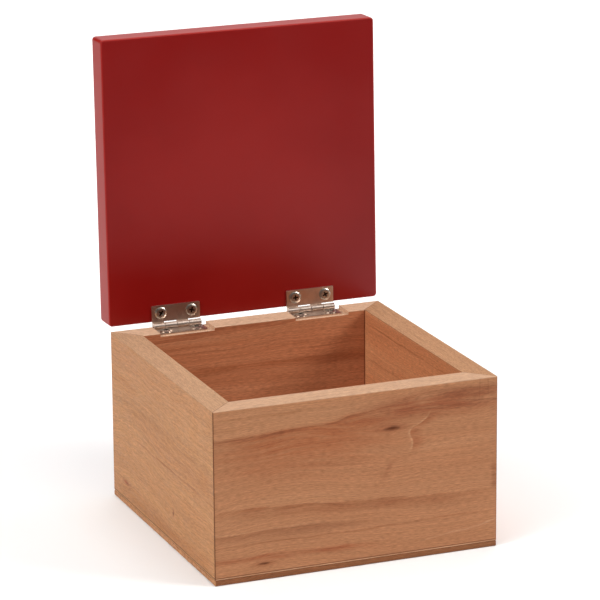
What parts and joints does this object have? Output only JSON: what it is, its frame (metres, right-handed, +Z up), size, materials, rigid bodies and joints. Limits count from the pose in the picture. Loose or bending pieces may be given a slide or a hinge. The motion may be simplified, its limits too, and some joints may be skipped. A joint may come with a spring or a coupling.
{
  "type": "hinged box",
  "caption": "Square wooden keeper box with mitred corners, a flush base panel and a painted slab lid that swings open on butt hinges.",
  "frame": {"origin": "middle of the base panel's underside, where the box stands", "axes": "+Z up, +X to the right along the front wall, +Y to the back, where the hinges are"},
  "size_m": [0.144, 0.1627, 0.2307],
  "materials": {
    "alder": "clear oiled",
    "red_paint": "satin painted",
    "nickel_plate": "bright plated",
    "zinc_screw": "zinc plated",
    "brad_steel": "bright drawn"
  },
  "bodies": {
    "box": {"front_wall": "alder", "right_wall": "alder", "back_wall": "alder", "left_wall": "alder", "base_panel": "alder", "base_brads": "brad_steel", "left_hinge_box_leaf": "nickel_plate", "left_hinge_pin": "nickel_plate", "left_hinge_box_screw_left": "zinc_screw", "left_hinge_box_screw_right": "zinc_screw", "right_hinge_box_leaf": "nickel_plate", "right_hinge_pin": "nickel_plate", "right_hinge_box_screw_left": "zinc_screw", "right_hinge_box_screw_right": "zinc_screw"},
    "lid": {"lid_panel": "red_paint", "left_hinge_lid_leaf": "nickel_plate", "left_hinge_lid_screw_left": "zinc_screw", "left_hinge_lid_screw_right": "zinc_screw", "right_hinge_lid_leaf": "nickel_plate", "right_hinge_lid_screw_left": "zinc_screw", "right_hinge_lid_screw_right": "zinc_screw"}
  },
  "joints": [
    {"name": "lid_hinge", "type": "hinge", "parent": "box", "child": "lid", "pos_m": [0, 0.072, 0.085], "axis": [-1, 0, 0], "range_deg": [-92.07, 95.5]}
  ]
}
